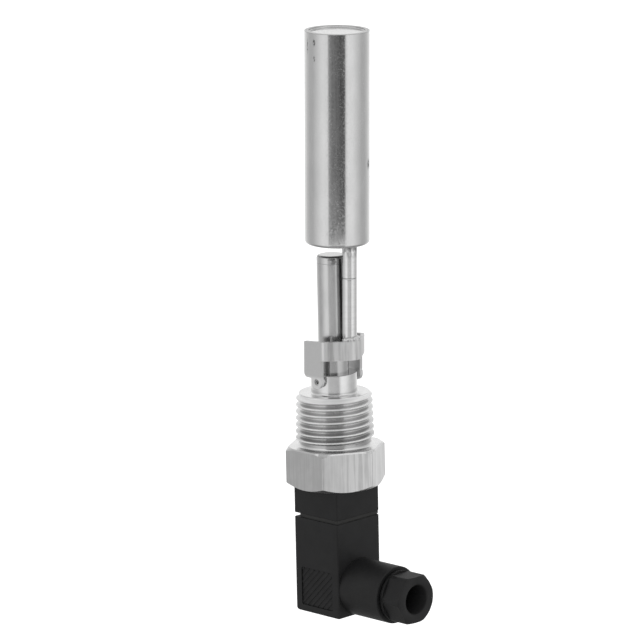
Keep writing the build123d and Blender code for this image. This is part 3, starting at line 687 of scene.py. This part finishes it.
cup_foot, cup_rim, cup_radius, cup_bore, cup_sheet = 36.8, 93.8, 8.6, 8.0, 0.6
cup_line = outline([
    (cup_foot, 0, 0), (cup_foot, cup_radius, 0.9), (cup_rim, cup_radius, 0.12),
    (cup_rim, cup_bore + 0.01, 0.05), (92.0, cup_bore, 0), (cup_foot + cup_sheet, cup_bore, 0),
    (cup_foot + cup_sheet, 0, 0)], 8)
cup = revolved(cup_line, on_arm, 128)
piece("float_cup", cup, (float_face,), "float_arm", ("float_shell",))
lid_under, lid_top, lid_radius, lip_bore = 92.7, 93.3, 7.98, 7.48
lid_line = outline([
    (lid_under, 0, 0), (lid_under, lid_radius, 0), (cup_rim, lid_radius, 0.05), (cup_rim, lip_bore, 0.12),
    (lid_top, lip_bore, 0.2), (lid_top, 0, 0)], 4)
lid = revolved(lid_line, on_arm, 128)
piece("float_lid_disc", lid, (float_face,), "float_arm", ("float_lid",))


# Plug. A square connector of black glass-filled nylon: the base moulding behind the hexagon, a profile
# gasket, and the housing with its round boss for the cable gland. One screw from its foot holds them.
def moulded(shape, low, high, width, edge, foot=0.0, head=0.0, back_edge=0.5):
    """A square block along the axis with rounded edges, and rounded ends where asked."""
    half = width / 2
    cube = bmesh.ops.create_cube(shape, size=1)["verts"]
    for corner in cube:
        x = low if corner.co.x < 0 else high
        corner.co = on_switch(x, half if corner.co.y > 0 else -half, half if corner.co.z > 0 else -half)
    sides = [e for e in shape.edges if e.verts[0] in cube and abs(e.verts[0].co.x - e.verts[1].co.x) > 1e-4]
    front, rear = [[e for e in sides if e.verts[0].co.z * side > 0] for side in (1, -1)]
    for chosen, radius in ((front, edge), (rear, back_edge)):
        bmesh.ops.bevel(shape, geom=chosen, offset=radius * 0.001, segments=6, profile=0.5, affect="EDGES")
    for level, rounding in ((low, foot), (high, head)):
        if rounding:
            end = [e for e in shape.edges if all(abs(v.co.x - level * 0.001) < 1e-7 for v in e.verts)]
            bmesh.ops.bevel(shape, geom=end, offset=rounding * 0.001, segments=5, profile=0.5, affect="EDGES")
    return shape


plastic = Finish("black_plastic", IOR=1.42)
spark = plastic.grain((9, 9, 9), 4.0, 0.6)
cloud = plastic.grain((0.3, 0.3, 0.3))
black, greyer_black = (0.0036, 0.0036, 0.0039), (0.0058, 0.0058, 0.0062)
plastic.feed("Base Color", plastic.mixed(cloud.eased(0.3, 0.7), black, greyer_black))
plastic.feed("Roughness", 0.52 + spark * 0.14)
plastic.relief(spark, 0.02)

base_low, lip_top, gasket_low, housing_low, plug_width = -18.7, -19.4, -19.8, -45.9, 16.2
base = moulded(bmesh.new(), base_low, bar_low, plug_width, 0.5, 0.2, 0.2)
piece("connector_base_moulding", base, (plastic,), "switch_body", ("connector_base",))

rubber = Finish("gasket_rubber", IOR=1.5)
bloom = rubber.grain((1.2, 1.2, 1.2))
rubber.feed("Base Color", rubber.mixed(bloom, (0.008, 0.008, 0.008), (0.014, 0.014, 0.013)))
rubber.feed("Roughness", 0.6 + bloom * 0.2)
rubber.relief(bloom, 0.02)
gasket = moulded(bmesh.new(), lip_top - 0.05, base_low, plug_width - 0.2, 0.5, back_edge=3.6)
moulded(gasket, gasket_low, lip_top, plug_width - 0.6, 0.4, back_edge=3.4)
piece("profile_gasket", gasket, (rubber,), "switch_body", ("gasket",))

gland_x, boss_end = -38.15, 21.9


def on_gland(z, a, b):
    """A place given in millimetres along the gland's axis and across it."""
    return Vector((gland_x + a, b, z)) * 0.001


def carve(target, cutter):
    """Takes the cutter's mesh out of the target's and puts the result back."""
    bmesh.ops.recalc_face_normals(cutter, faces=cutter.faces)
    tool_mesh = bpy.data.meshes.new("cutter")
    cutter.to_mesh(tool_mesh)
    cutter.free()
    tool = bpy.data.objects.new("cutter", tool_mesh)
    scene.collection.objects.link(tool)
    cut = target.modifiers.new("cut", "BOOLEAN")
    cut.operation, cut.object, cut.solver = "DIFFERENCE", tool, "EXACT"
    bpy.context.view_layer.update()
    carved = bpy.data.meshes.new_from_object(target.evaluated_get(bpy.context.evaluated_depsgraph_get()))
    target.modifiers.remove(cut)
    target.data = carved
    bpy.data.objects.remove(tool)
    bpy.data.meshes.remove(tool_mesh)


panel_low, panel_high, panel_half = -44.0, -33.5, 5.8
panel_floor, panel_round = 7.75, 0.6
block = moulded(bmesh.new(), housing_low, gasket_low, plug_width, 0.5, 0.45, 0.2)
housing = piece("plug_housing_moulding", block, (plastic,), "switch_body", ("plug_housing",))
for side in (1, -1):
    cutter = bmesh.new()
    for corner in bmesh.ops.create_cube(cutter, size=1)["verts"]:
        y = side * (panel_floor if corner.co.y < 0 else plug_width / 2 + 0.9)
        corner.co = on_switch(panel_low if corner.co.x < 0 else panel_high, y, panel_half * 2 * corner.co.z)
    corner_edges = [e for e in cutter.edges if abs(e.verts[0].co.y - e.verts[1].co.y) > 1e-4]
    bmesh.ops.bevel(cutter, geom=corner_edges, offset=panel_round * 0.001, segments=4, profile=0.5,
                    affect="EDGES")
    carve(housing, cutter)
foot_x, foot_z, foot_round = -44.26, -6.46, 1.65
clear_below, clear_aside = -47, 9  # the cutting shapes end outside the housing
foot_arc = [(foot_x - foot_round * cos(t), foot_z - foot_round * sin(t))
            for t in (radians(10 * n) for n in range(10))]
foot_line = [(clear_below, foot_z), *foot_arc, (foot_x, -clear_aside), (clear_below, -clear_aside)]
cutter = bmesh.new()
ends = (-clear_aside, clear_aside)
skin(cutter, [[cutter.verts.new(on_switch(x, y, z)) for x, z in foot_line] for y in ends])
for end in ends:
    cutter.faces.new([v for v in cutter.verts if abs(v.co.y - end * 0.001) < 1e-7])
carve(housing, cutter)
recess_radius, recess_floor = 2.8, -43.9
recess_line = [(clear_below, 0), (clear_below, recess_radius), (recess_floor, recess_radius),
               (recess_floor, 0)]
carve(housing, revolved(recess_line, on_switch, 48))
housing.data.shade_smooth()
housing.data.set_sharp_from_angle(angle=radians(35))
boss_foot, boss_floor, boss_radius, boss_bore = 6.5, 10.6, 7.75, 6.45
boss_line = outline([
    (boss_foot, 0, 0), (boss_foot, boss_radius, 0), (boss_end, boss_radius, 0.25), (boss_end, boss_bore, 0.1),
    (boss_floor, boss_bore, 0), (boss_floor, 0, 0)])
piece("gland_boss", revolved(boss_line, on_gland), (plastic,), "switch_body", ())


# Grip ribs. Fine ribs at 45 degrees, moulded with the housing, fill the sunk panel on both its sides;
# each rib ends where it meets the panel's border.
ribs_tree = bpy.data.node_groups.new("grip_ribs", "GeometryNodeTree")
ribs_tree.interface.new_socket("Geometry", in_out="INPUT", socket_type="NodeSocketGeometry")
rib_inputs = {}
for label, value in (
    ("Pitch", 1.3), ("Width", 0.6), ("Height", 0.36), ("Panel height", panel_high - panel_low),
    ("Panel width", panel_half * 2), ("Face", panel_floor),
):
    socket = ribs_tree.interface.new_socket(label, in_out="INPUT", socket_type="NodeSocketFloat")
    socket.default_value = value * 0.001
    rib_inputs[label] = socket.identifier
ribs_tree.interface.new_socket("Geometry", in_out="OUTPUT", socket_type="NodeSocketGeometry")
ribs = Bench(ribs_tree)
given = ribs.node("NodeGroupInput", {}, {}).socket.node.outputs
fed = [Wire(ribs, given[label]) for label in rib_inputs]
rib_pitch, rib_width, rib_height, panel_tall, panel_wide, face_at = fed
count, rib_edge = 24, 0.08
points = ribs.node("GeometryNodeMeshLine", {"mode": "OFFSET"}, {"Count": count, "Offset": (0, 0, 0)})
number = ribs.node("GeometryNodeInputIndex", {}, {})
shift = (number - (count - 1) / 2) * rib_pitch * sqrt(2)
left = (panel_tall * -0.5).larger(panel_wide * -0.5 + shift)
right = -1 * (panel_tall * -0.5).larger(panel_wide * -0.5 - shift)
run = (right - left).larger(0.0)
middle = (left + right) * 0.5
spot_at = ribs.node("ShaderNodeCombineXYZ", {}, {0: middle, 1: face_at, 2: middle - shift})
placed = ribs.node("GeometryNodeSetPosition", {}, {"Geometry": points, "Position": spot_at})
long_enough = ribs.node("FunctionNodeCompare", {"operation": "GREATER_THAN"}, {"A": run, "B": 0.0008})
bar = ribs.node("GeometryNodeMeshCube", {}, {"Size": (1, 1, 1)})
stretch = ribs.node("ShaderNodeCombineXYZ", {}, {0: run * sqrt(2) - 0.0004, 1: rib_height, 2: rib_width})
laid = ribs.node("GeometryNodeInstanceOnPoints", {}, {
    "Points": placed, "Selection": long_enough, "Instance": bar, "Rotation": (0, radians(-45), 0),
    "Scale": stretch})
real = ribs.node("GeometryNodeRealizeInstances", {}, {"Geometry": laid})
coated = ribs.node("GeometryNodeSetMaterial", {}, {"Geometry": real, "Material": plastic.material})
ribs.node("NodeGroupOutput", {}, {0: coated})

rib_shape = bmesh.new()
carrier = bpy.data.objects.new("grip_ribs_carrier", bpy.data.meshes.new("grip_ribs_carrier"))
scene.collection.objects.link(carrier)
grower = carrier.modifiers.new("ribs", "NODES")
grower.node_group = ribs_tree
for side in (1, -1):
    grower[rib_inputs["Face"]] = side * panel_floor * 0.001
    bpy.context.view_layer.update()
    grown = bpy.data.meshes.new_from_object(carrier.evaluated_get(bpy.context.evaluated_depsgraph_get()))
    grown.transform(Matrix.Translation(on_switch((panel_low + panel_high) / 2, 0, 0)))
    rib_shape.from_mesh(grown)
bpy.data.objects.remove(carrier)
bmesh.ops.bevel(rib_shape, geom=rib_shape.edges[:], offset=rib_edge * 0.001, segments=1, affect="EDGES")
piece("grip_ribs", rib_shape, (plastic,), "switch_body", ())


# Gland nut. A black moulded hexagon of 12.5 mm with a round collar and a chamfered face. It presses the
# slip washer on the rubber seal in the boss, and a cable would enter through its bore.
nut_flats, hexagon_low, nut_top = 12.5, 23.2, 29.3
stub_low, stub_radius, nut_bore = 17.2, 6.4, 3.9
collar_low, collar = 22.3, 6.9
nut_reach = [hexagon_reach(angle, 2.2) * nut_flats / flats for side in range(6) for angle in sector]
face_rise = bevel_height(nut_reach, 6.3, 44)
back_rise = bevel_height(nut_reach, collar, 45)
shape = bmesh.new()
rings = [ring_of(shape, a, r, on_gland) for a, r in (
    (nut_top - 0.4, nut_bore), (stub_low, nut_bore), (stub_low, stub_radius), (collar_low, stub_radius),
    (collar_low, collar - 0.1), (collar_low + 0.1, collar), (hexagon_low, collar))]
rings.append(ring_of(shape, hexagon_low, [min(r, collar) for r in nut_reach], on_gland))
rings.append(ring_of(shape, [hexagon_low + h for h in back_rise], nut_reach, on_gland))
rings.append(ring_of(shape, [nut_top - h for h in face_rise], nut_reach, on_gland))
rings += [ring_of(shape, nut_top, r, on_gland) for r in (6.2, nut_bore + 0.4)]
skin(shape, rings, closed=True)
piece("gland_pressure_nut", shape, (plastic,), "switch_body", ("gland_nut",), 52)


# Small and inner parts keep their CAD shape: the fixing screw and washers, the rubber seal, the reed
# switch with its glass, leads and sleeve, the magnet, its spacer and the stem's plugs, and the brass
# contacts and terminals.
def metal(name, dark, light, rough, fine, depth):
    made = bare_metal(name)
    marks = made.grain(fine, 4.0)
    made.feed("Base Color", made.mixed(marks.eased(0.3, 0.7), dark, light))
    made.feed("Roughness", rough + marks * 0.12)
    made.relief(marks, depth)
    return made


def moulding(name, dark, light, rough, depth):
    made = Finish(name, IOR=1.5)
    skin_marks = made.grain((6, 6, 6))
    made.feed("Base Color", made.mixed(skin_marks, dark, light))
    made.feed("Roughness", rough + skin_marks * 0.15)
    made.relief(skin_marks, depth)
    return made


zinc = metal("zinc_plate", (0.50, 0.50, 0.49), (0.66, 0.66, 0.64), 0.26, (4, 1.5, 1.5), 0.008)
brass = metal("contact_brass", (0.55, 0.40, 0.17), (0.72, 0.55, 0.26), 0.24, (1, 5, 5), 0.005)
magnet_plate = metal("magnet_plate", (0.42, 0.42, 0.43), (0.55, 0.55, 0.56), 0.28, (3, 3, 3), 0.005)
seal_rubber = moulding("seal_rubber", (0.010, 0.010, 0.010), (0.020, 0.020, 0.019), 0.55, 0.02)
insert_plastic = moulding("insert_plastic", (0.030, 0.030, 0.032), (0.045, 0.045, 0.047), 0.45, 0.01)
pale_plastic = moulding("pale_plastic", (0.55, 0.53, 0.48), (0.66, 0.64, 0.58), 0.4, 0.01)
lead_cover = moulding("lead_cover", (0.36, 0.05, 0.04), (0.46, 0.08, 0.06), 0.4, 0.01)
glass = Finish("capsule_glass", IOR=1.48, Transmission_Weight=0.85)
glass.feed("Base Color", glass.mixed(glass.grain((0.8, 2, 2)), (0.80, 0.86, 0.82), (0.86, 0.91, 0.88)))
glass.feed("Roughness", 0.03 + glass.grain((3, 3, 3)) * 0.06)

for nodes, finish in (
    (("fixing_screw", "gland_washer"), zinc),
    (("reed_blades", "contact_blade_1", "contact_blade_2", "contact_blade_3", "earth_blade", "terminal_1",
      "terminal_2", "terminal_3", "terminal_4", "terminal_screws"), brass),
    (("screw_washer", "gland_seal"), seal_rubber),
    (("terminal_insert",), insert_plastic),
    (("reed_sleeve", "magnet_spacer"), pale_plastic),
    (("magnet",), magnet_plate),
    (("stem_foot_plug", "stem_end_plug"), stem_face),
    (("switch_leads",), lead_cover),
    (("reed_glass",), glass),
):
    for node in nodes:
        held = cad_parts[node].data.materials
        held.clear()
        held.append(finish.material)
